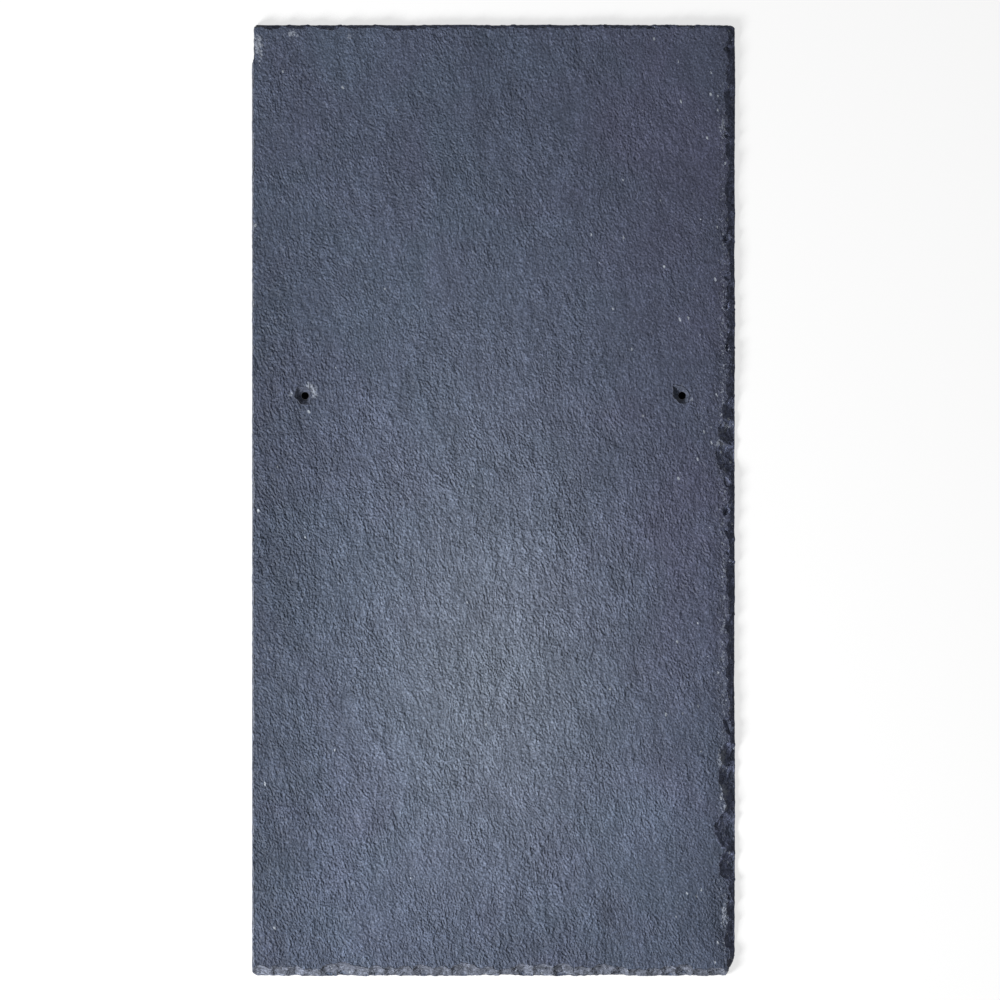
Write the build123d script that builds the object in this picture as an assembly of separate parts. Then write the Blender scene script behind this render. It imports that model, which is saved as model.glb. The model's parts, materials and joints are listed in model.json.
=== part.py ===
from build123d import *
import math
import os
import random

# A riven roofing slate: one leaf of stone, split along its cleavage, dressed on four sides
# and holed for two nails. Millimetres. X runs across the slate, Y from the tail, the end
# that shows on the roof, up to the head, and Z out of the bed towards the riven face.

# Leaf
slate_length = 500.0
slate_width = 254.0
slate_thickness = 6.0

# Riven surface: long, shallow waves that the face and the bed share
riven_rise = 0.35
riven_span = 190.0
riven_grid = 28.0

# Nail holes, punched from the bed, so that the stone breaks out round them on the face
tail_to_nails = 305.0
side_to_nail = 28.0
nail_hole_radius = 2.0
crater_depth = 2.9
crater_ledge = 0.25

# Crater rims: each corner's direction in degrees from +X, and how far it lies from the hole's
# edge. The punch broke out more stone towards the head's left corner than on the other side.
left_crater = [(0, 1.0), (42, 1.5), (92, 2.7), (140, 4.4), (185, 3.7), (240, 2.9), (300, 3.5)]
right_crater = [(5, 1.7), (50, 1.5), (98, 3.0), (136, 6.2), (180, 3.2), (238, 2.2), (312, 3.0)]

# Hewn outline: the spacing of the dressing blows and how far they bite in from a straight line
left_blow_spacing = 60.0
left_blow_bite = 0.2
right_blow_spacing = 24.0
right_blow_bite = 0.6
head_blow_spacing = 20.0
head_blow_bite = 0.5
tail_blow_spacing = 5.5
tail_blow_bite = 0.7

# Flaked bevel: how far the flakes run in over the face, half the length of one flake, and
# the edge of the bed that they leave standing
left_flake_reach = 1.0
left_flake_half = 22.0
right_flake_reach = 4.4
right_flake_half = 9.5
head_flake_reach = 2.0
head_flake_half = 13.0
tail_flake_reach = 5.6
tail_flake_half = 8.0
bed_edge = 1.1

# Corners lost in dressing: how far each broken corner runs along the two sides it joins
tail_right_break = (5.0, 13.0)
tail_left_break = (3.0, 2.1)
head_left_break = (1.1, 18.4)
head_right_break = (2.5, 1.8)

# Lamina that sprang off beside the tail's right-hand corner
lamina_reach = 24.0
lamina_half = 25.0
lamina_depth = 0.9
lamina_from_tail = 32.0

# Room that the cutting shapes are given beyond the stone
clear = 8.0
flake_clearance = 2.0


def face_height(x, y):
    """Height of the riven face above the floor that the bed's lowest places touch."""
    down_slate = math.sin(math.tau * (y - 0.3 * x) / riven_span + 1.1)
    across_slate = math.sin(math.tau * (0.9 * x + 0.35 * y) / (0.75 * riven_span))
    return slate_thickness + riven_rise * (1 + 0.6 * down_slate + 0.4 * across_slate)


def riven_leaf():
    """The leaf before dressing: its riven face, and a bed that follows it one thickness below."""
    columns = math.ceil((slate_width + 2 * clear) / riven_grid) + 1
    rows = math.ceil((slate_length + 2 * clear) / riven_grid) + 1
    step_x = (slate_width + 2 * clear) / (columns - 1)
    step_y = (slate_length + 2 * clear) / (rows - 1)
    heights = []
    for column in range(columns):
        x = column * step_x - slate_width / 2 - clear
        ys = [row * step_y - slate_length / 2 - clear for row in range(rows)]
        heights.append([(x, y, face_height(x, y)) for y in ys])
    face = Face.make_surface_from_array_of_points(heights, tol=0.01, min_deg=3, max_deg=3)
    return Solid.extrude(face, Vector(0, 0, -slate_thickness))


class Side:
    """One dressed side, run anticlockwise from corner to corner, with the stone on its left."""

    def __init__(self, start, end, blow_spacing, blow_bite, flake_reach, flake_half, seed):
        self.start = Vector(*start)
        self.length = (Vector(*end) - self.start).length
        self.along = (Vector(*end) - self.start).normalized()
        self.inward = Vector(-self.along.Y, self.along.X)
        self.blow_spacing = blow_spacing
        self.blow_bite = blow_bite
        self.flake_reach = flake_reach
        self.flake_half = flake_half
        self.chance = random.Random(seed)

    def place(self, distance, bite=0.0):
        """A point on the side, a distance past its start and a bite in from the line."""
        return self.start + self.along * distance + self.inward * bite

    def hewn_line(self, start_break, end_break):
        """The outline's corners between the two broken ends, one for each dressing blow."""
        blows = max(3, round((self.length - start_break - end_break) / self.blow_spacing))
        step = (self.length - start_break - end_break) / blows
        proudest = self.chance.randrange(1, blows)
        line = []
        for blow in range(blows + 1):
            drift = 0 if blow in (0, blows) else self.chance.uniform(-0.3, 0.3)
            bite = 0 if blow == proudest else self.chance.uniform(0.1, 1) * self.blow_bite
            line.append(self.place(start_break + (blow + drift) * step, bite))
        return line

    def flake(self, distance, reach, drop, half):
        """The hollow of one flake: a slice of the sphere through its reach, drop and two ends."""
        half = max(half, 1.1 * reach, 1.1 * drop)
        outward = (half**2 - reach**2) / (2 * reach)
        upward = (half**2 - drop**2) / (2 * drop)
        radius = math.sqrt(outward**2 + upward**2 + half**2)
        arris = self.place(distance)
        arris += Vector(0, 0, face_height(arris.X, arris.Y))
        centre = arris - self.inward * outward + Vector(0, 0, upward)
        spare = flake_clearance / radius
        over_face = math.atan2(upward, outward + reach) - spare
        down_side = math.atan2(upward + drop, outward) + spare
        first_ray = self.inward * math.cos(over_face) - Vector(0, 0, math.sin(over_face))
        end_angle = math.degrees(math.asin(min(1, (half + flake_clearance) / radius)))
        sweep = math.degrees(down_side - over_face)
        return Solid.make_sphere(radius, Plane(centre, first_ray, -self.along),
                                 -end_angle, end_angle, sweep)

    def flaked_bevel(self):
        """Overlapping flakes from end to end of the side."""
        hollows = []
        distance = 0.0
        while distance < self.length:
            half = self.flake_half * self.chance.uniform(0.65, 1.35)
            reach = self.flake_reach * self.chance.uniform(0.7, 1.3)
            drop = (slate_thickness - bed_edge) * self.chance.uniform(0.8, 1)
            distance += 0.6 * half
            hollows.append(self.flake(distance, reach, drop, half))
            distance += 0.6 * half
        return hollows

    def bites(self, bites):
        """The deep flakes that stand out from the rest, each at a share of the side's length."""
        drop = slate_thickness - bed_edge
        return [self.flake(share * self.length, reach, drop, half) for share, reach, half in bites]


# Corners of the true rectangle
right = slate_width / 2
head = slate_length / 2

tail_side = Side((-right, -head), (right, -head), tail_blow_spacing, tail_blow_bite,
                 tail_flake_reach, tail_flake_half, seed=11)
right_side = Side((right, -head), (right, head), right_blow_spacing, right_blow_bite,
                  right_flake_reach, right_flake_half, seed=12)
head_side = Side((right, head), (-right, head), head_blow_spacing, head_blow_bite,
                 head_flake_reach, head_flake_half, seed=13)
left_side = Side((-right, head), (-right, -head), left_blow_spacing, left_blow_bite,
                 left_flake_reach, left_flake_half, seed=14)
sides = [tail_side, right_side, head_side, left_side]

# Deep flakes: share of the side's length, reach over the face, half length
right_bites = [(0.04, 6.2, 7.0), (0.07, 5.5, 7.0), (0.116, 9.0, 10.0), (0.154, 11.0, 12.0),
               (0.194, 7.0, 8.0), (0.21, 9.0, 10.0), (0.232, 8.0, 9.0), (0.547, 10.5, 11.0),
               (0.571, 9.5, 10.5), (0.594, 7.0, 8.0), (0.825, 6.0, 7.0), (0.867, 5.2, 8.0),
               (0.924, 6.4, 10.0)]
head_bites = [(0.69, 3.2, 16.0), (0.84, 3.0, 9.0), (0.96, 3.0, 7.0)]


def hewn_blank(leaf):
    """The leaf cut to its hewn outline, with the corners that broke off in dressing."""
    outline = tail_side.hewn_line(tail_left_break[0], tail_right_break[0])
    outline.append(Vector(right - 0.8 * tail_right_break[0], -head + 0.3 * tail_right_break[1]))
    outline.append(Vector(right - 0.25 * tail_right_break[0], -head + 0.6 * tail_right_break[1]))
    outline += right_side.hewn_line(tail_right_break[1], head_right_break[1])
    outline += head_side.hewn_line(head_right_break[0], 2 * head_left_break[0])
    outline.append(Vector(-right + head_left_break[0], head - 2 * head_left_break[0]))
    outline.append(Vector(-right + head_left_break[0], head - head_left_break[1]))
    outline += left_side.hewn_line(head_left_break[1] + clear / 4, tail_left_break[1])
    prism = Solid.extrude(Face(Wire.make_polygon(outline)), Vector(0, 0, slate_thickness + 2 * clear))
    return (leaf & prism.moved(Location((0, 0, -clear)))).solid()


def nail_hole(x, y, crater):
    """The punch's round hole, and the crater of flat fractures that it broke out of the face."""
    shank = Solid.make_cylinder(nail_hole_radius, slate_thickness + 2 * clear,
                                Plane((x, y, -clear)))
    bottom = Vector(x, y, face_height(x, y) - crater_depth)
    over_face = 1 + clear / (2 * crater_depth)
    ledge = []
    rim = []
    for direction, run in crater:
        ray = Vector(math.cos(math.radians(direction)), math.sin(math.radians(direction)), 0)
        inner = bottom + ray * (nail_hole_radius + crater_ledge)
        ledge.append(inner)
        slope = ray * (run - crater_ledge) + Vector(0, 0, crater_depth)
        rim.append(inner + slope * over_face)
    fractures = [Face(Wire.make_polygon(ledge)), Face(Wire.make_polygon(rim))]
    for n in range(len(rim)):
        fractures.append(Face(Wire.make_polygon([ledge[n - 1], ledge[n], rim[n]])))
        fractures.append(Face(Wire.make_polygon([ledge[n - 1], rim[n], rim[n - 1]])))
    return [shank, Solid(Shell(fractures))]


def sprung_lamina():
    """The thin lamina that sprang off the face by the tail's right-hand corner."""
    return right_side.flake(lamina_from_tail, lamina_reach, lamina_depth, lamina_half)


hollows = [hollow for side in sides for hollow in side.flaked_bevel()]
hollows += right_side.bites(right_bites) + head_side.bites(head_bites)
hollows.append(sprung_lamina())
hollows += nail_hole(side_to_nail - right, tail_to_nails - head, left_crater)
hollows += nail_hole(right - side_to_nail, tail_to_nails - head, right_crater)

slate = hewn_blank(riven_leaf()).cut(*hollows).solid()
slate.label = "slate"

os.makedirs("parts", exist_ok=True)
export_step(slate, "parts/slate.step")
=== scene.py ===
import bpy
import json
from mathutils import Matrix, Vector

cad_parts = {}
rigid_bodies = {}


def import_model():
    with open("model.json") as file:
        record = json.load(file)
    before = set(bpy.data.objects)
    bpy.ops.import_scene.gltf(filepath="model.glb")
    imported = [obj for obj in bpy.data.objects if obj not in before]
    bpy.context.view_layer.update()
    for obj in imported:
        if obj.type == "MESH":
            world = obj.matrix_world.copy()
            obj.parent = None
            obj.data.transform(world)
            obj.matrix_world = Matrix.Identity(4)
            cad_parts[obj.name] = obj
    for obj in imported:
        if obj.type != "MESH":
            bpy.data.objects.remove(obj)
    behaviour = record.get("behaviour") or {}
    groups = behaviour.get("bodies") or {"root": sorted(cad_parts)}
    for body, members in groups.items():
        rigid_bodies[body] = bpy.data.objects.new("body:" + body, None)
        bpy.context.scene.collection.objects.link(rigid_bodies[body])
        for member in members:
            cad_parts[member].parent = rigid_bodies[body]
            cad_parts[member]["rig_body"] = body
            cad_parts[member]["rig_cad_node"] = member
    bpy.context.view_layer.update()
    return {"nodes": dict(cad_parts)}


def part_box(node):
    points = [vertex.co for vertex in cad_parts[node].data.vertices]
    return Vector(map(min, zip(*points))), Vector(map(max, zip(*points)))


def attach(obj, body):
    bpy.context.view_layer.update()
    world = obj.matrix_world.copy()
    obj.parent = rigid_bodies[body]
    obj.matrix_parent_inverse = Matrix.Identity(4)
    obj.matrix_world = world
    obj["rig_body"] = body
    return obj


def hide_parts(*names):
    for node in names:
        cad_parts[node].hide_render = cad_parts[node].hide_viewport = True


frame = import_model()

import json
import logging
import math
import random
from dataclasses import dataclass, field
from enum import Enum

import bpy
from mathutils import Vector

log = logging.getLogger("slate")

Socket = bpy.types.NodeSocket
Amount = float | Socket
Pair = tuple[float, float]
Triple = tuple[float, float, float]

MM = 0.001


def select_only(piece: bpy.types.Object) -> None:
    """Selects one object and makes it the active one.

    Args:
        piece: The object that the next operators act on.
    """
    bpy.ops.object.select_all(action="DESELECT")
    piece.select_set(True)
    bpy.context.view_layer.objects.active = piece


class NodeBench:
    """Places nodes in one tree and wires each as it goes in."""

    def __init__(self, tree: bpy.types.NodeTree) -> None:
        """Takes the tree to work in.

        Args:
            tree: A shader or geometry node tree.
        """
        self.tree = tree

    def place(self, kind: str, inputs: dict[int | str, object],
              **settings: object) -> bpy.types.Node:
        """Adds a node.

        Args:
            kind: The node's type name.
            inputs: What goes into its sockets, by name or number: a socket to link, or a value.
            **settings: The node's own settings.

        Returns:
            The new node.
        """
        node = self.tree.nodes.new(kind)
        for name, value in settings.items():
            setattr(node, name, value)
        for name, value in inputs.items():
            if isinstance(value, bpy.types.NodeSocket):
                self.tree.links.new(value, node.inputs[name])
            else:
                node.inputs[name].default_value = value
        return node

    def maths(self, operation: str, *values: Amount) -> Socket:
        """Works out one number from others.

        Args:
            operation: The Math node's operation.
            *values: Its inputs, in order.

        Returns:
            The result.
        """
        node = self.place("ShaderNodeMath", dict(enumerate(values)), operation=operation)
        return node.outputs[0]

    def total(self, *values: Amount) -> Socket:
        """Adds numbers up.

        Args:
            *values: Two numbers or more.

        Returns:
            Their sum.
        """
        result = values[0]
        for value in values[1:]:
            result = self.maths("ADD", result, value)
        return result

    def step(self, value: Amount, low: float, high: float, at_low: Amount = 0.0,
             at_high: Amount = 1.0) -> Socket:
        """Runs smoothly from one number to another while a value passes between two limits.

        Args:
            value: The value that is watched.
            low: Where the change begins.
            high: Where the change is complete.
            at_low: The result below it.
            at_high: The result above it.

        Returns:
            The result.
        """
        node = self.place("ShaderNodeMapRange",
                          {0: value, 1: low, 2: high, 3: at_low, 4: at_high},
                          interpolation_type="SMOOTHSTEP")
        return node.outputs[0]

    def fade(self, value: Amount, between: Pair, at_low: Amount, at_high: Amount) -> Socket:
        """Runs smoothly from one number to another over a stretch of the slate.

        Args:
            value: The coordinate that is watched.
            between: Where the change begins and ends, in millimetres.
            at_low: The result before it.
            at_high: The result after it.

        Returns:
            The result.
        """
        return self.step(value, between[0] * MM, between[1] * MM, at_low, at_high)

    def spread(self, value: Amount, at_low: float, at_high: float) -> Socket:
        """Stretches the middle of a noise, 0.3 to 0.7, over a range, and clamps the rest.

        Args:
            value: The noise.
            at_low: The result at 0.3.
            at_high: The result at 0.7.

        Returns:
            The result.
        """
        return self.place("ShaderNodeMapRange",
                          {0: value, 1: 0.3, 2: 0.7, 3: at_low, 4: at_high}).outputs[0]

    def stretched(self, position: Socket, turn: float, along: Triple) -> Socket:
        """Turns a position about the upright axis, then stretches it.

        Args:
            position: The position.
            turn: The turn in degrees.
            along: The factors along the turned axes. A small one gives long shapes.

        Returns:
            The new position.
        """
        turned = self.place("ShaderNodeVectorRotate",
                            {"Vector": position, "Angle": math.radians(turn)},
                            rotation_type="Z_AXIS").outputs[0]
        return self.place("ShaderNodeVectorMath", {0: turned, 1: along},
                          operation="MULTIPLY").outputs[0]

    def noise(self, position: Socket, grain: float, detail: float = 2.0,
              roughness: float = 0.5, warp: float = 0.0) -> Socket:
        """Noise whose lumps have about a given width.

        Args:
            position: Where it is read.
            grain: The lumps' width in millimetres.
            detail: The octaves of finer lumps on them.
            roughness: How strong those are.
            warp: How far it is bent by itself.

        Returns:
            The noise, from 0 to 1.
        """
        return self.place("ShaderNodeTexNoise",
                          {"Vector": position, "Scale": 1 / (grain * MM), "Detail": detail,
                           "Roughness": roughness, "Distortion": warp}).outputs[0]

    def vectors(self, operation: str, first: object, second: object) -> Socket:
        """Works out one vector from two.

        Args:
            operation: The Vector Math node's operation.
            first: The first vector or its socket.
            second: The second vector or its socket.

        Returns:
            The result.
        """
        return self.place("ShaderNodeVectorMath", {0: first, 1: second},
                          operation=operation).outputs[0]

    def blend(self, share: Amount, first: object, second: object) -> Socket:
        """Mixes two colours.

        Args:
            share: How much of the second there is, from 0 to 1.
            first: The first colour or its socket.
            second: The second colour or its socket.

        Returns:
            The mixed colour.
        """
        node = self.place("ShaderNodeMix", {0: share, 6: first, 7: second}, data_type="RGBA")
        return node.outputs[2]

    def tint(self, colour: object, amount: Amount) -> Socket:
        """Multiplies a colour by a number.

        Args:
            colour: The colour or its socket.
            amount: The number.

        Returns:
            The colour, lighter or darker.
        """
        return self.place("ShaderNodeVectorMath", {0: colour, "Scale": amount},
                          operation="SCALE").outputs[0]


class Side(Enum):
    """A side with a chipped arris, as seen from above with the head up, and its way inward."""

    RIGHT = (-1, 0)
    HEAD = (0, -1)
    TAIL = (0, 1)

    def spot(self, low: Vector, high: Vector, share: float, inward: float) -> Vector:
        """A point of the face near this side.

        Args:
            low: The slate's lowest corner.
            high: The slate's highest corner.
            share: How far along the side, from the tail or from the left, as a share of it.
            inward: How far in from the side.

        Returns:
            The point, at the height of the face.
        """
        across, up = self.value
        x = low.x + share * (high.x - low.x)
        y = low.y + share * (high.y - low.y)
        if across:
            x = high.x + across * inward
        else:
            y = (low.y if up > 0 else high.y) + up * inward
        return Vector((x, y, high.z - 0.5 * MM))


@dataclass(frozen=True)
class ChipRow:
    """The small chips that dressing knocked out of the arris of one side, in millimetres."""

    side: Side
    count: int
    inward: Pair
    half_length: Pair
    half_width: Pair
    depth: Pair
    seed: int
    swing: float = 0.6
    tilt: float = 0.3
    roughened: float = 0.25

    def make(self, low: Vector, high: Vector) -> list[bpy.types.Object]:
        """Makes the lumps of stone that the chips take away.

        Args:
            low: The slate's lowest corner.
            high: The slate's highest corner.

        Returns:
            One faceted lump a chip.
        """
        chance = random.Random(self.seed)
        lumps = []
        for number in range(self.count):
            share = (number + chance.uniform(0.0, 1.0)) / self.count
            place = self.side.spot(low, high, share, chance.uniform(*self.inward) * MM)
            length = chance.uniform(*self.half_length) * MM
            width = chance.uniform(*self.half_width) * MM
            depth = chance.uniform(*self.depth) * MM
            turn = 0.0 if self.side.value[1] else math.pi / 2
            turn += chance.uniform(-self.swing, self.swing)
            lean = (chance.uniform(-self.tilt, self.tilt), chance.uniform(-self.tilt, self.tilt),
                    turn)
            bpy.ops.object.select_all(action="DESELECT")
            bpy.ops.mesh.primitive_ico_sphere_add(subdivisions=1, radius=1.0, location=place,
                                                  rotation=lean, scale=(length, width, depth))
            lump = bpy.context.object
            bpy.ops.object.mode_set(mode="EDIT")
            bpy.ops.transform.vertex_random(offset=self.roughened * width,
                                            seed=chance.randrange(10000))
            bpy.ops.object.mode_set(mode="OBJECT")
            lumps.append(lump)
        return lumps


@dataclass
class DressedLeaf:
    """The slate itself: the frame's leaf, with its chips and its riven relief, in millimetres."""

    node: str = "slate"
    merge: float = 0.002
    voxel: float = 0.6
    triangles: int = 190000
    crease: float = 42.0
    face_lean: Pair = (0.80, 0.97)
    wave_turn: float = -30.0
    long_wave: float = 0.14
    long_wave_width: float = 38.0
    short_wave: float = 0.12
    short_wave_width: float = 9.0
    ragged_band: float = 16.0
    ragged: float = 1.5
    ragged_width: float = 4.0
    crumbled: float = 0.65
    crumb_width: float = 1.8
    facet: float = 0.75
    facet_width: float = 3.0
    lamina: float = 0.35
    lamina_width: float = 0.9
    torn_mean: float = 0.45
    left_share: float = 0.25
    upright_share: float = 0.15
    foot: Pair = (1.5, 4.0)
    foot_shares: Pair = (0.6, 0.15)
    spare: float = 0.03
    chip_rows: tuple[ChipRow, ...] = field(default_factory=lambda: (
        ChipRow(Side.RIGHT, 46, (2.2, 4.8), (1.6, 4.6), (1.2, 2.6), (0.9, 2.2), seed=3),
        ChipRow(Side.TAIL, 36, (0.6, 3.6), (1.4, 4.5), (0.8, 2.2), (0.6, 1.8), seed=5),
        ChipRow(Side.HEAD, 26, (0.2, 1.6), (1.6, 5.0), (0.6, 1.6), (0.6, 1.8), seed=7),
    ))

    def build(self) -> bpy.types.Object:
        """Makes the finished mesh.

        Returns:
            The slate, at the origin, with its modifiers applied.
        """
        leaf = self.copy_leaf()
        for work in (self.knock_off_chips, self.grow_skin, self.raise_relief, self.thin):
            work(leaf)
            log.info("%s: %d faces", work.__name__, len(leaf.data.polygons))
        return leaf

    def copy_leaf(self) -> bpy.types.Object:
        """Copies the frame's leaf and closes its seams.

        Returns:
            The copy, with a mesh of its own.
        """
        select_only(frame["nodes"][self.node])
        bpy.ops.object.duplicate()
        leaf = bpy.context.object
        leaf.name = leaf.data.name = "riven_slate"
        leaf.parent = None
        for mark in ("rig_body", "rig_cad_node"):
            if mark in leaf:
                del leaf[mark]
        leaf.data.materials.clear()
        bpy.ops.object.mode_set(mode="EDIT")
        bpy.ops.mesh.select_all(action="SELECT")
        bpy.ops.mesh.remove_doubles(threshold=self.merge * MM)
        bpy.ops.object.mode_set(mode="OBJECT")
        return leaf

    def knock_off_chips(self, leaf: bpy.types.Object) -> None:
        """Takes the small chips out of the arrises.

        Args:
            leaf: The slate.
        """
        low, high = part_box(self.node)
        lumps = [lump for row in self.chip_rows for lump in row.make(low, high)]
        bpy.ops.object.select_all(action="DESELECT")
        for lump in lumps:
            lump.select_set(True)
        bpy.context.view_layer.objects.active = lumps[0]
        bpy.ops.object.join()
        waste = bpy.context.object
        cut = leaf.modifiers.new("chips", "BOOLEAN")
        cut.operation = "DIFFERENCE"
        cut.object = waste
        cut.solver = "EXACT"
        cut.use_self = True
        select_only(leaf)
        bpy.ops.object.modifier_apply(modifier=cut.name)
        bpy.data.objects.remove(waste)

    def grow_skin(self, leaf: bpy.types.Object) -> None:
        """Gives the slate an even, fine skin.

        Args:
            leaf: The slate.
        """
        skin = leaf.modifiers.new("skin", "REMESH")
        skin.mode = "VOXEL"
        skin.voxel_size = self.voxel * MM
        skin.use_smooth_shade = True
        select_only(leaf)
        bpy.ops.object.modifier_apply(modifier=skin.name)

    def raise_relief(self, leaf: bpy.types.Object) -> None:
        """Sinks the riven waves into the two faces, and makes the edges ragged and broken.

        Args:
            leaf: The slate.
        """
        tree = bpy.data.node_groups.new("riven_relief", "GeometryNodeTree")
        tree.interface.new_socket("Geometry", in_out="INPUT", socket_type="NodeSocketGeometry")
        tree.interface.new_socket("Geometry", in_out="OUTPUT", socket_type="NodeSocketGeometry")
        bench = NodeBench(tree)
        place = bench.place("GeometryNodeInputPosition", {}).outputs[0]
        normal = bench.place("GeometryNodeInputNormal", {}).outputs[0]
        upright = bench.place("ShaderNodeSeparateXYZ", {0: normal}).outputs[2]
        flat = bench.step(bench.maths("ABSOLUTE", upright), *self.face_lean)
        lineation = bench.stretched(place, self.wave_turn, (1.0, 0.6, 1.0))
        long_wave = bench.noise(lineation, self.long_wave_width, 1.0, warp=0.6)
        short_wave = bench.noise(lineation, self.short_wave_width, 2.0, warp=0.4)
        riven = bench.total(bench.maths("MULTIPLY", long_wave, self.long_wave * MM),
                            bench.maths("MULTIPLY", short_wave, self.short_wave * MM))
        layered = bench.stretched(place, 0.0, (0.06, 0.06, 1.0))
        shards = bench.place("ShaderNodeTexVoronoi",
                             {"Vector": place, "Scale": 1 / (self.facet_width * MM)})
        leaves = bench.noise(layered, self.lamina_width, 1.0)
        torn = bench.total(bench.maths("MULTIPLY", shards.outputs["Distance"], self.facet * MM),
                           bench.maths("MULTIPLY", leaves, self.lamina * MM),
                           -self.torn_mean * MM)
        broken = bench.maths("MULTIPLY", bench.maths("SUBTRACT", 1.0, flat),
                             self.above_bed(bench, place))
        depth = bench.total(bench.maths("MULTIPLY", riven, flat),
                            bench.maths("MULTIPLY", torn, broken))
        sink = bench.tint(normal, bench.maths("MULTIPLY", depth, -1.0))
        moved = bench.vectors("ADD", bench.vectors("ADD", place, sink), self.rag(bench, place))
        low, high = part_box(self.node)
        margin = Vector((1.0, 1.0, 1.0)) * self.spare * MM
        moved = bench.vectors("MINIMUM", moved, tuple(high - margin))
        moved = bench.vectors("MAXIMUM", moved, tuple(low + margin))
        start = tree.nodes.new("NodeGroupInput")
        end = tree.nodes.new("NodeGroupOutput")
        skin = bench.place("GeometryNodeSetPosition",
                           {"Geometry": start.outputs[0], "Position": moved})
        tree.links.new(skin.outputs[0], end.inputs[0])
        relief = leaf.modifiers.new("relief", "NODES")
        relief.node_group = tree
        select_only(leaf)
        bpy.ops.object.modifier_apply(modifier=relief.name)
        bpy.data.node_groups.remove(tree)

    def rag(self, bench: NodeBench, place: Socket) -> Socket:
        """Shifts the stone near the sides to and fro, so that every arris there is ragged.

        Args:
            bench: The tree's bench.
            place: The position.

        Returns:
            The shift, level with the floor.
        """
        low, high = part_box(self.node)
        axes = bench.place("ShaderNodeSeparateXYZ", {0: place})
        from_side = bench.maths("SUBTRACT", high.x, bench.maths("ABSOLUTE", axes.outputs[0]))
        from_end = bench.maths("SUBTRACT", high.y, bench.maths("ABSOLUTE", axes.outputs[1]))
        near = bench.step(bench.maths("MINIMUM", from_side, from_end), 0.5 * self.ragged_band * MM,
                          self.ragged_band * MM, 1.0, 0.0)
        left = bench.step(axes.outputs[0], low.x + 2 * MM, low.x + 12 * MM, self.left_share, 1.0)
        shift = bench.place("ShaderNodeTexNoise",
                            {"Vector": place, "Scale": 1 / (self.ragged_width * MM),
                             "Detail": 1.0}).outputs[1]
        crumb = bench.place("ShaderNodeTexVoronoi",
                            {"Vector": place, "Scale": 1 / (self.crumb_width * MM)})
        half = (0.5, 0.5, 0.5)
        shifted = bench.tint(bench.vectors("SUBTRACT", shift, half), self.ragged * MM)
        crumbled = bench.tint(bench.vectors("SUBTRACT", crumb.outputs["Color"], half),
                              self.crumbled * MM)
        to_fro = bench.vectors("ADD", shifted, crumbled)
        level = bench.vectors("MULTIPLY", to_fro, (1.0, 1.0, self.upright_share))
        share = bench.maths("MULTIPLY", bench.maths("MULTIPLY", near, left),
                            self.above_bed(bench, place))
        return bench.tint(level, share)

    def above_bed(self, bench: NodeBench, place: Socket) -> Socket:
        """Spares the foot of the sides, where the bed's outline is clean, least of all the tail's.

        Args:
            bench: The tree's bench.
            place: The position.

        Returns:
            1 at the face, little at the bed.
        """
        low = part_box(self.node)[0]
        axes = bench.place("ShaderNodeSeparateXYZ", {0: place})
        at_bed = bench.step(axes.outputs[1], low.y + 4 * MM, low.y + 12 * MM, *self.foot_shares)
        return bench.fade(axes.outputs[2], self.foot, at_bed, 1.0)

    def thin(self, leaf: bpy.types.Object) -> None:
        """Thins the mesh where it is nearly flat, so that its faces go to the edges.

        Args:
            leaf: The slate.
        """
        leaf.data.calc_loop_triangles()
        fewer = leaf.modifiers.new("thin", "DECIMATE")
        fewer.ratio = min(1.0, self.triangles / len(leaf.data.loop_triangles))
        select_only(leaf)
        bpy.ops.object.modifier_apply(modifier=fewer.name)
        bpy.ops.object.shade_smooth_by_angle(angle=math.radians(self.crease))


@dataclass(frozen=True)
class Patch:
    """A soft-edged oval place on the slate, in millimetres, where its colour differs: some are the
    stone's own tone, some painted light and shade.
    """

    x: float
    y: float
    half_width: float
    half_length: float
    gain: float

    def show(self, bench: NodeBench, place: Socket) -> Socket:
        """How strongly the patch shows.

        Args:
            bench: The tree's bench.
            place: The object coordinates.

        Returns:
            The gain in its middle, falling away to 0 all round.
        """
        offset = bench.vectors("SUBTRACT", place, (self.x * MM, self.y * MM, 0.0))
        scaled = bench.vectors("MULTIPLY", offset,
                               (1 / (self.half_width * MM), 1 / (self.half_length * MM), 0.0))
        away = bench.place("ShaderNodeVectorMath", {0: scaled, 1: scaled},
                           operation="DOT_PRODUCT").outputs["Value"]
        share = bench.maths("EXPONENT", bench.maths("MULTIPLY", away, -1.0))
        return bench.maths("MULTIPLY", share, self.gain)


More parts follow.
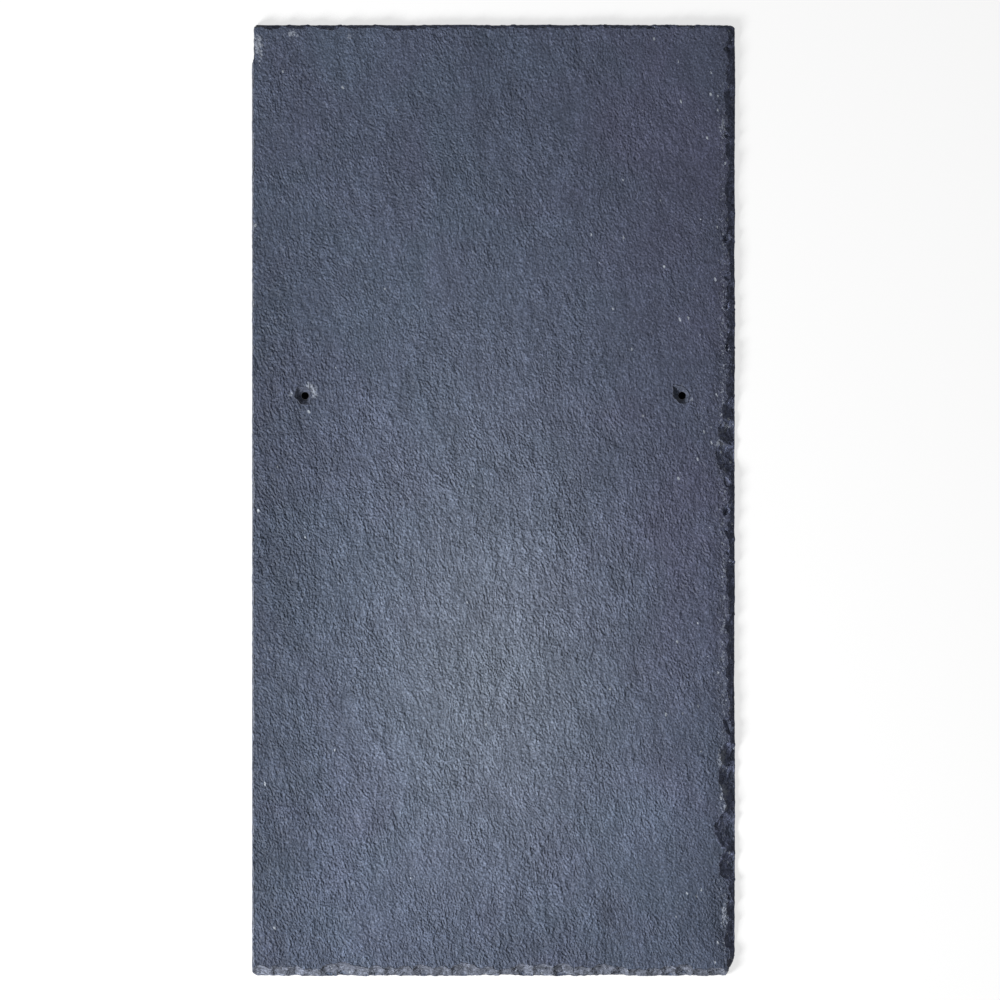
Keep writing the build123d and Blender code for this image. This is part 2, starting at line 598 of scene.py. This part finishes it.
@dataclass(frozen=True)
class RivenStone:
    """Blue-grey slate: a fine grain on the riven faces, laminae and crushed stone on the edges.

    Widths, reliefs, spans and reaches are in millimetres, and turns are in degrees. Tones are
    factors for the colour. Some colour is painted light and shade: a sheen over the middle of
    the face, shade in the grain's hollows and the craters, glints, and lit and shaded copies of
    the broken stone.
    """

    name: str = "riven_stone"
    blue_grey: Triple = (0.099, 0.127, 0.190)
    violet_grey: Triple = (0.111, 0.121, 0.195)
    # Painted sheen: the paler, greyer colour that the middle of the face is blended towards.
    sheen_grey: Triple = (0.113, 0.131, 0.164)
    # Lit and shaded copies of the broken stone: painted shade on the right and head edges, bluer
    # and lifted, and painted light on the tail and left edges, greyer.
    shaded_break_grey: Triple = (0.135, 0.156, 0.245)
    lit_break_grey: Triple = (0.148, 0.164, 0.212)
    # Painted shade in the craters round the nail holes: darker than the broken stone.
    pit_shade_grey: Triple = (0.092, 0.106, 0.152)
    # Pale crushed stone, partly painted light on chips that face the lamp.
    crushed_and_lit_grey: Triple = (0.33, 0.365, 0.44)
    dust: Triple = (0.52, 0.57, 0.64)
    # Painted sheen: two broad soft patches over the middle of the lower half.
    painted_sheen: tuple[Patch, ...] = (
        Patch(-2.0, -110.0, 78.0, 95.0, 0.29),
        Patch(-2.0, -45.0, 78.0, 150.0, 0.33),
    )
    # Pale and dark patches: partly the stone's own tone, partly painted light and shade.
    tone_and_light_patches: tuple[Patch, ...] = (
        Patch(78.0, -162.0, 20.0, 22.0, 0.30),
        Patch(14.0, -44.0, 20.0, 46.0, 0.14),
        Patch(-92.0, -212.0, 22.0, 26.0, 0.12),
        Patch(115.0, -218.0, 17.0, 24.0, -0.12),
        # Painted shadow of a small fold in the face: a narrow upright dark patch.
        Patch(59.0, -215.0, 3.2, 7.0, -0.32),
        Patch(14.0, -238.0, 60.0, 12.0, -0.14),
        Patch(95.0, 60.0, 60.0, 190.0, -0.09),
        Patch(0.0, 178.0, 200.0, 62.0, -0.05),
        Patch(24.0, 120.0, 30.0, 90.0, 0.05),
    )
    # Spots of pale crushed stone, partly painted light on chips and crater rims that face the
    # lamp.
    crushed_and_lit_spots: tuple[Patch, ...] = (
        Patch(-96.8, 59.6, 3.0, 2.4, 1.0),
        Patch(-94.2, 56.0, 2.2, 2.6, 0.8),
        Patch(-106.2, 55.6, 1.1, 1.6, 0.8),
        Patch(98.4, 59.6, 1.4, 0.9, 0.8),
        Patch(103.6, 52.8, 1.2, 1.2, 0.8),
        Patch(-123.6, 238.0, 3.2, 7.0, 0.9),
        Patch(-106.0, 245.0, 3.4, 2.6, 0.8),
        Patch(-75.3, 243.0, 2.2, 2.4, 0.6),
        Patch(118.4, 30.1, 2.4, 1.8, 0.8),
        Patch(122.8, 39.0, 2.2, 1.4, 0.6),
        Patch(120.2, 196.0, 2.0, 5.0, 0.4),
        Patch(119.4, -135.4, 2.6, 5.0, 0.55),
        Patch(122.0, -153.0, 3.0, 5.0, 0.5),
        Patch(121.8, -161.0, 1.3, 1.3, 1.0),
        Patch(121.6, -217.0, 2.4, 7.0, 0.5),
        Patch(-60.0, -246.6, 44.0, 2.0, 0.3),
        Patch(40.0, -247.2, 50.0, 1.8, 0.25),
        Patch(120.4, 0.0, 2.8, 300.0, 0.40),
    )
    hole: Pair = (99.0, 55.0)
    pit_reach: Pair = (11.0, 12.5)
    broken_lean: Pair = (0.90, 0.985)
    grain_turn: float = -16.0
    furrow_turn: float = -8.0
    swirl: float = 12.0
    swirl_width: float = 70.0
    fine_relief: float = 1.18
    coarse_relief: float = 0.90
    swell_relief: float = 1.30
    gash_relief: float = 0.16
    torn_relief: float = 0.9
    fine_width: float = 1.1
    coarse_width: float = 2.9
    swell_width: float = 7.5
    gash_width: float = 2.2
    lamina_width: float = 0.5
    crumb_width: float = 1.1
    head_calm: float = 0.64
    head_calm_span: Pair = (0.0, 120.0)
    right_calm: float = 0.74
    right_calm_span: Pair = (30.0, 90.0)
    patchy: Pair = (0.72, 1.28)
    patchy_width: float = 26.0
    plain_tone: float = 0.885
    # Painted fall-off of the sheen: the colour darkens towards the left side, most so from the
    # nail holes down.
    left_tones: Pair = (0.70, 0.88)
    left_tone_span: Pair = (-125.0, -62.0)
    left_rise_span: Pair = (60.0, 160.0)
    right_tone: float = 0.82
    right_tone_span: Pair = (110.0, 122.0)
    cloud_tones: Pair = (0.94, 1.06)
    cloud_width: float = 40.0
    smear_tones: Pair = (0.91, 1.09)
    smear_width: float = 8.0
    # Painted shade and light in the grain: the colour is darker in its hollows and paler on its
    # crests.
    cavity_shade_tones: Pair = (0.93, 1.22)
    cavity_shade_heights: Pair = (-0.10, 0.38)
    # Painted glints: a fine pale speckle in the colour, standing in for the stone's glossy
    # sparkle.
    glint_speckle_tones: Pair = (0.86, 1.62)
    glint_speckle_width: float = 0.95
    chip_tones: Pair = (0.74, 1.5)
    chip_width: float = 2.2
    layer_tones: Pair = (0.88, 1.35)
    layer_width: float = 0.45
    violet_width: float = 60.0
    violet_share: float = 0.7
    violet_right: float = 0.4
    violet_low: float = -0.15
    violet_right_span: Pair = (-30.0, 110.0)
    violet_rise_span: Pair = (-200.0, 0.0)
    tail_span: Pair = (-245.0, -236.0)
    left_edge_span: Pair = (-122.0, -115.0)
    # How far the painted sheen turns the colour towards its greyer tone.
    sheen_share: float = 1.35
    crushed_lift: float = 0.48
    crushed_most: float = 0.85
    crushed_width: float = 1.3
    dust_share: float = 0.75
    dust_shares: Pair = (0.06, 0.75)
    dust_span: Pair = (85.0, 122.0)
    torn_dust_share: float = 0.40
    dust_cells: Pair = (4.0, 2.2)
    dust_radii: Pair = (0.58, 0.48)
    dust_shake: float = 0.8
    dust_shake_width: float = 1.2
    roughness: Pair = (0.52, 0.70)
    roughness_width: float = 9.0
    shine: float = 0.32

    def make(self) -> bpy.types.Material:
        """Builds the material.

        Returns:
            The stone.
        """
        stone = bpy.data.materials.new(self.name)
        stone.use_nodes = True
        tree = stone.node_tree
        tree.nodes.clear()
        bench = NodeBench(tree)
        coordinates = bench.place("ShaderNodeTexCoord", {})
        place = coordinates.outputs["Object"]
        upright = bench.place("ShaderNodeSeparateXYZ",
                              {0: coordinates.outputs["Normal"]}).outputs[2]
        torn = bench.step(bench.maths("ABSOLUTE", upright), *self.broken_lean, 1.0, 0.0)
        grain = self.grain(bench, place)
        colour = self.colour(bench, place, grain, torn)
        height = self.height(bench, place, grain, torn)
        bump = bench.place("ShaderNodeBump", {"Height": height, "Distance": 1.0})
        dull = bench.spread(bench.noise(place, self.roughness_width, 3.0), *self.roughness)
        shader = bench.place("ShaderNodeBsdfPrincipled",
                             {"Base Color": colour, "Roughness": dull, "Normal": bump.outputs[0],
                              "Specular IOR Level": self.shine})
        bench.place("ShaderNodeOutputMaterial", {"Surface": shader.outputs[0]})
        return stone

    def grain(self, bench: NodeBench, place: Socket) -> Socket:
        """The fine grain, in short streaks that lean a little from the slate's length.

        Args:
            bench: The tree's bench.
            place: The object coordinates.

        Returns:
            The grain's height in millimetres, 0 on average.
        """
        bend = bench.place("ShaderNodeTexNoise",
                           {"Vector": place, "Scale": 1 / (self.swirl_width * MM),
                            "Detail": 1.0}).outputs[1]
        bent = bench.vectors("ADD", place, bench.tint(bend, self.swirl * MM))
        streaks = bench.stretched(bent, self.grain_turn, (1.0, 0.74, 1.0))
        furrows = bench.stretched(bent, self.furrow_turn, (1.0, 0.50, 1.0))
        fine = bench.maths("SUBTRACT", bench.noise(streaks, self.fine_width, 1.0, 0.45), 0.5)
        coarse = bench.maths("SUBTRACT", bench.noise(furrows, self.coarse_width, 1.0), 0.5)
        swells = bench.maths("SUBTRACT", bench.noise(furrows, self.swell_width, 2.0), 0.5)
        slits = bench.stretched(bent, self.grain_turn, (1.0, 0.40, 1.0))
        gashes = bench.step(bench.noise(slits, self.gash_width, 1.0), 0.28, 0.40, -1.0, 0.0)
        axes = bench.place("ShaderNodeSeparateXYZ", {0: place})
        calm_head = bench.fade(axes.outputs[1], self.head_calm_span, 1.0, self.head_calm)
        calm_right = bench.fade(axes.outputs[0], self.right_calm_span, 1.0, self.right_calm)
        rough = bench.spread(bench.noise(place, self.patchy_width, 2.0), *self.patchy)
        strength = bench.maths("MULTIPLY", bench.maths("MULTIPLY", calm_head, calm_right), rough)
        relief = bench.total(bench.maths("MULTIPLY", fine, self.fine_relief),
                             bench.maths("MULTIPLY", coarse, self.coarse_relief),
                             bench.maths("MULTIPLY", swells, self.swell_relief),
                             bench.maths("MULTIPLY", gashes, self.gash_relief))
        return bench.maths("MULTIPLY", relief, strength)

    def tone(self, bench: NodeBench, place: Socket, painted_sheen: Socket) -> Socket:
        """How light the colour is: a painted sheen over the middle of its lower half, painted
        fall-off of it darker towards the left, darker close to the right edge, and pale and dark
        patches that are partly the stone's own tone and partly painted light and shade.

        Args:
            bench: The tree's bench.
            place: The object coordinates.
            painted_sheen: How much paler the painted sheen makes the middle.

        Returns:
            The factor for its colour.
        """
        # The painted sheen and the pale and dark patches, partly painted light and shade, set how
        # light the colour is.
        tone_and_light_patches = [shade.show(bench, place) for shade in self.tone_and_light_patches]
        tone = bench.total(self.plain_tone, painted_sheen, *tone_and_light_patches)
        axes = bench.place("ShaderNodeSeparateXYZ", {0: place})
        # Painted fall-off of the sheen: darker towards the left side, most so from the nail holes
        # down.
        dark_side = bench.fade(axes.outputs[1], self.left_rise_span, *self.left_tones)
        left = bench.fade(axes.outputs[0], self.left_tone_span, dark_side, 1.0)
        right = bench.fade(axes.outputs[0], self.right_tone_span, 1.0, self.right_tone)
        return bench.maths("MULTIPLY", bench.maths("MULTIPLY", tone, left), right)

    def flecks(self, bench: NodeBench, place: Socket, cell: float, share: Amount,
               radius: float) -> Socket:
        """Sparse small grains.

        Args:
            bench: The tree's bench.
            place: The object coordinates.
            cell: The space that one grain may have, in millimetres.
            share: The share of the spaces that have one.
            radius: The largest grain's radius, in millimetres.

        Returns:
            1 on a grain, 0 elsewhere.
        """
        shaken = bench.place("ShaderNodeTexNoise",
                             {"Vector": place, "Scale": 1 / (self.dust_shake_width * MM),
                              "Detail": 0.0}).outputs[1]
        warped = bench.vectors("ADD", place, bench.tint(shaken, self.dust_shake * MM))
        drawn = bench.stretched(warped, self.grain_turn, (1.0, 0.55, 1.0))
        cells = bench.place("ShaderNodeTexVoronoi", {"Vector": drawn, "Scale": 1 / (cell * MM)})
        lot = bench.place("ShaderNodeSeparateColor", {0: cells.outputs["Color"]})
        chosen = bench.maths("LESS_THAN", lot.outputs[0], share)
        reach = bench.maths("MULTIPLY", bench.step(lot.outputs[1], 0.0, 1.0, 0.4, 1.0),
                            radius / cell)
        return bench.maths("MULTIPLY", chosen,
                           bench.maths("LESS_THAN", cells.outputs["Distance"], reach))

    def colour(self, bench: NodeBench, place: Socket, grain: Socket, torn: Socket) -> Socket:
        """The stone's colour.

        Args:
            bench: The tree's bench.
            place: The object coordinates.
            grain: The grain.
            torn: 1 on broken edges, 0 on riven faces.

        Returns:
            The colour.
        """
        axes = bench.place("ShaderNodeSeparateXYZ", {0: place})
        at_right = bench.fade(axes.outputs[0], self.violet_right_span, self.violet_low,
                              self.violet_right)
        rising = bench.fade(axes.outputs[1], self.violet_rise_span, self.violet_low, at_right)
        violet = bench.spread(bench.noise(place, self.violet_width, 3.0, 0.55, 0.8),
                              0.0, self.violet_share)
        patches = bench.total(violet, rising)
        colour = bench.blend(patches, (*self.blue_grey, 1.0), (*self.violet_grey, 1.0))
        # Painted sheen: the middle of the face is made paler and greyer, standing in for light
        # gleaming off it.
        painted_sheen = bench.total(*(patch.show(bench, place) for patch in self.painted_sheen))
        sheen_share = bench.maths("MULTIPLY", painted_sheen, self.sheen_share)
        colour = bench.blend(sheen_share, colour, (*self.sheen_grey, 1.0))
        clouds = bench.spread(bench.noise(place, self.cloud_width, 3.0, 0.6, 0.5),
                              *self.cloud_tones)
        long_way = bench.stretched(place, self.furrow_turn, (1.0, 0.35, 1.0))
        smears = bench.spread(bench.noise(long_way, self.smear_width, 2.0), *self.smear_tones)
        clouds = bench.maths("MULTIPLY", clouds, smears)
        # Painted shade and light: darker in the grain's hollows, paler on its crests.
        cavity_shade = bench.step(grain, *self.cavity_shade_heights, *self.cavity_shade_tones)
        # Painted glints: a fine pale speckle standing in for glossy sparkle.
        glint_speckle = bench.step(bench.noise(place, self.glint_speckle_width, 1.0, 0.6), 0.40, 0.78,
                             *self.glint_speckle_tones)
        fine_tone = bench.maths("MULTIPLY", bench.maths("MULTIPLY", clouds, cavity_shade), glint_speckle)
        all_tone = bench.maths("MULTIPLY", fine_tone, self.tone(bench, place, painted_sheen))
        colour = bench.tint(colour, all_tone)
        # Painted light and shade: the broken stone takes its lit copy on the tail and left edges,
        # which face the lamp, and its shaded copy elsewhere.
        at_tail = bench.fade(axes.outputs[1], self.tail_span, 1.0, 0.0)
        at_left = bench.fade(axes.outputs[0], self.left_edge_span, 1.0, 0.0)
        broken = bench.blend(bench.maths("MAXIMUM", at_tail, at_left),
                             (*self.shaded_break_grey, 1.0), (*self.lit_break_grey, 1.0))
        broken = bench.tint(bench.tint(broken, self.layers(bench, place)), glint_speckle)
        colour = bench.blend(torn, colour, broken)
        # Painted shade: the craters round the nail holes take a darker colour in place of the
        # broken stone's.
        pit_shade = bench.maths("MULTIPLY", torn, self.near_holes(bench, place))
        pit_shade_colour = bench.tint(self.pit_shade_grey, bench.maths("MULTIPLY", glint_speckle, clouds))
        colour = bench.blend(pit_shade, colour, pit_shade_colour)
        outside = bench.maths("SUBTRACT", 1.0, pit_shade)
        # Pale crushed stone beside the breaks, partly painted light on chips that face the lamp.
        crushed = bench.maths("MULTIPLY", self.crushed(bench, place), outside)
        colour = bench.blend(crushed, colour, (*self.crushed_and_lit_grey, 1.0))
        edge = bench.fade(axes.outputs[0], self.dust_span, *self.dust_shares)
        torn_dust = bench.maths("MULTIPLY", torn, self.torn_dust_share)
        large, small = self.dust_cells
        dust = bench.maths("MAXIMUM",
                           self.flecks(bench, place, large, edge, self.dust_radii[0]),
                           self.flecks(bench, place, small, torn_dust, self.dust_radii[1]))
        dust = bench.maths("MULTIPLY", bench.maths("MULTIPLY", dust, outside), self.dust_share)
        return bench.blend(dust, colour, (*self.dust, 1.0))

    def crushed(self, bench: NodeBench, place: Socket) -> Socket:
        """Marks the pale crushed stone beside some of the breaks, partly painted light on chips
        and crater rims that face the lamp.

        Args:
            bench: The tree's bench.
            place: The object coordinates.

        Returns:
            The share of it, from 0 to 1, in irregular grains.
        """
        spots = bench.total(*(spot.show(bench, place) for spot in self.crushed_and_lit_spots))
        lift = bench.maths("MULTIPLY", spots, self.crushed_lift)
        grains = bench.total(bench.noise(place, self.crushed_width, 2.0, 0.6), lift)
        return bench.step(grains, 0.68, 0.90, 0.0, self.crushed_most)

    def layers(self, bench: NodeBench, place: Socket) -> Socket:
        """How pale the broken stone is: chips, and the thin edges of the laminae.

        Args:
            bench: The tree's bench.
            place: The object coordinates.

        Returns:
            The factor for its colour.
        """
        chips = bench.step(bench.noise(place, self.chip_width, 3.0, 0.6), 0.36, 0.68,
                           *self.chip_tones)
        layered = bench.stretched(place, 0.0, (0.10, 0.10, 1.0))
        layers = bench.step(bench.noise(layered, self.layer_width, 1.0), 0.5, 0.72,
                            *self.layer_tones)
        return bench.maths("MULTIPLY", chips, layers)

    def near_holes(self, bench: NodeBench, place: Socket) -> Socket:
        """Marks the stone round the nail holes, which are mirror images across the slate.

        Args:
            bench: The tree's bench.
            place: The object coordinates.

        Returns:
            1 in the holes and their craters, 0 elsewhere.
        """
        axes = bench.place("ShaderNodeSeparateXYZ", {0: place})
        either_side = bench.maths("ABSOLUTE", axes.outputs[0])
        across = bench.maths("SUBTRACT", either_side, self.hole[0] * MM)
        up = bench.maths("SUBTRACT", axes.outputs[1], self.hole[1] * MM)
        away = bench.maths("SQRT", bench.total(bench.maths("MULTIPLY", across, across),
                                               bench.maths("MULTIPLY", up, up)))
        return bench.fade(away, self.pit_reach, 1.0, 0.0)

    def height(self, bench: NodeBench, place: Socket, grain: Socket, torn: Socket) -> Socket:
        """The height of the fine relief, in metres.

        Args:
            bench: The tree's bench.
            place: The object coordinates.
            grain: The grain.
            torn: 1 on broken edges, 0 on riven faces.

        Returns:
            The height.
        """
        riven = bench.maths("MULTIPLY", grain, MM)
        layered = bench.stretched(place, 0.0, (0.08, 0.08, 1.0))
        laminae = bench.noise(layered, self.lamina_width, 2.0, 0.6)
        crumbs = bench.noise(place, self.crumb_width, 3.0, 0.6)
        broken = bench.maths("MULTIPLY", bench.total(laminae, crumbs), self.torn_relief * MM)
        share = bench.maths("SUBTRACT", 1.0, torn)
        return bench.total(bench.maths("MULTIPLY", riven, share),
                           bench.maths("MULTIPLY", broken, torn))


@dataclass
class Studio:
    """The pale floor, the soft lamps and the camera that looks straight down.

    The floor and the lamp are in metres, degrees and watts. The margin, the gap, the lens, the
    sensor, the frame's width and the aim are in millimetres.
    """

    floor_half: float = 6.0
    floor_colour: Triple = (0.42, 0.42, 0.42)
    # Painted shade: the floor is nearly black under the slate, where the nail holes show it.
    under_slate_shade_colour: Triple = (0.01, 0.01, 0.01)
    floor_glow: float = 0.70
    bare_margin: float = 6.0
    bed_gap: float = 2.5
    sky: float = 0.17
    sky_below: float = 0.55
    key_azimuth: float = 212.0
    key_elevation: float = 35.0
    key_distance: float = 1.35
    key_width: float = 0.45
    key_power: float = 22.0
    lens: float = 200.0
    sensor: float = 36.0
    frame_width: float = 524.5
    aim: Pair = (3.35, 0.2)

    def build(self) -> None:
        """Sets the stage."""
        self.lay_floor()
        self.light()
        self.fix_camera()

    def lay_floor(self) -> None:
        """Lays the floor: white, with the slate's shadow, nearly black beneath the slate as
        painted shade for the nail holes, and clear from below to show the bed.
        """
        bpy.ops.object.select_all(action="DESELECT")
        bpy.ops.mesh.primitive_plane_add(size=2 * self.floor_half, location=(0, 0, 0))
        floor = bpy.context.object
        floor.name = "floor"
        paper = bpy.data.materials.new("floor_paper")
        paper.use_nodes = True
        paper.node_tree.nodes.clear()
        bench = NodeBench(paper.node_tree)
        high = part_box("slate")[1]
        spot = bench.place("ShaderNodeTexCoord", {}).outputs["Object"]
        axes = bench.place("ShaderNodeSeparateXYZ", {0: spot})
        across = bench.maths("LESS_THAN", bench.maths("ABSOLUTE", axes.outputs[0]),
                             high.x - self.bare_margin * MM)
        along = bench.maths("LESS_THAN", bench.maths("ABSOLUTE", axes.outputs[1]),
                            high.y - self.bare_margin * MM)
        covered = bench.maths("MULTIPLY", across, along)
        # Painted shade under the slate, seen through the nail holes.
        colour = bench.blend(covered, (*self.floor_colour, 1.0), (*self.under_slate_shade_colour, 1.0))
        rays = bench.place("ShaderNodeLightPath", {})
        seen = bench.maths("MULTIPLY", rays.outputs["Is Camera Ray"],
                           bench.maths("SUBTRACT", 1.0, covered))
        glow = bench.place("ShaderNodeEmission",
                           {"Color": (1.0, 1.0, 1.0, 1.0),
                            "Strength": bench.maths("MULTIPLY", seen, self.floor_glow)})
        matt = bench.place("ShaderNodeBsdfDiffuse", {"Color": colour})
        both = bench.place("ShaderNodeAddShader", {0: matt.outputs[0], 1: glow.outputs[0]})
        from_below = bench.place("ShaderNodeNewGeometry", {}).outputs["Backfacing"]
        from_bed = bench.maths("LESS_THAN", rays.outputs["Ray Length"], self.bed_gap * MM)
        under = bench.maths("MULTIPLY", bench.maths("MAXIMUM", covered, from_bed),
                            bench.maths("SUBTRACT", 1.0, rays.outputs["Is Camera Ray"]))
        opening = bench.place("ShaderNodeBsdfTransparent", {})
        surface = bench.place("ShaderNodeMixShader", {0: bench.maths("MAXIMUM", from_below, under),
                                                      1: both.outputs[0], 2: opening.outputs[0]})
        bench.place("ShaderNodeOutputMaterial", {"Surface": surface.outputs[0]})
        floor.data.materials.append(paper)

    def light(self) -> None:
        """Hangs the soft key lamp at the tail's left and fills in from all round."""
        azimuth, elevation = math.radians(self.key_azimuth), math.radians(self.key_elevation)
        towards = Vector((math.cos(azimuth) * math.cos(elevation),
                          math.sin(azimuth) * math.cos(elevation), math.sin(elevation)))
        bpy.ops.object.light_add(type="AREA", location=towards * self.key_distance)
        key = bpy.context.object
        key.name = key.data.name = "key"
        key.data.shape = "SQUARE"
        key.data.size = self.key_width
        key.data.energy = self.key_power
        key.rotation_euler = towards.to_track_quat("Z", "Y").to_euler()
        world = bpy.data.worlds.new("sky")
        bpy.context.scene.world = world
        world.use_nodes = True
        world.node_tree.nodes.clear()
        bench = NodeBench(world.node_tree)
        rays = bench.place("ShaderNodeLightPath", {})
        direction = bench.place("ShaderNodeTexCoord", {}).outputs["Generated"]
        upward = bench.place("ShaderNodeSeparateXYZ", {0: direction}).outputs[2]
        around = bench.step(upward, -0.05, 0.0, self.sky_below, self.sky)
        strength = bench.step(rays.outputs["Is Camera Ray"], 0.0, 1.0, around, 1.0)
        sky = bench.place("ShaderNodeBackground",
                          {"Color": (1.0, 1.0, 1.0, 1.0), "Strength": strength})
        bench.place("ShaderNodeOutputWorld", {"Surface": sky.outputs[0]})

    def fix_camera(self) -> None:
        """Hangs the camera over the slate."""
        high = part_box("slate")[1]
        away = self.lens * self.frame_width / self.sensor * MM
        bpy.ops.object.camera_add(location=(self.aim[0] * MM, self.aim[1] * MM, high.z + away),
                                  rotation=(0.0, 0.0, 0.0))
        camera = bpy.context.object
        camera.name = camera.data.name = "camera"
        camera.data.lens = self.lens
        camera.data.sensor_width = self.sensor
        camera.data.clip_end = 4 * away
        bpy.context.scene.camera = camera
        bpy.context.scene.view_settings.view_transform = "Standard"


def main() -> None:
    """Builds the slate and its stage, in order, and reports each."""
    logging.basicConfig(level=logging.INFO, format="%(relativeCreated)d %(name)s: %(message)s")
    slate = DressedLeaf().build()
    slate.data.materials.append(RivenStone().make())
    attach(slate, "root")
    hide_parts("slate")
    log.info("riven_slate: %d faces", len(slate.data.polygons))
    Studio().build()
    log.info("stage: floor, lamps and camera")


if __name__ == "__main__":
    main()
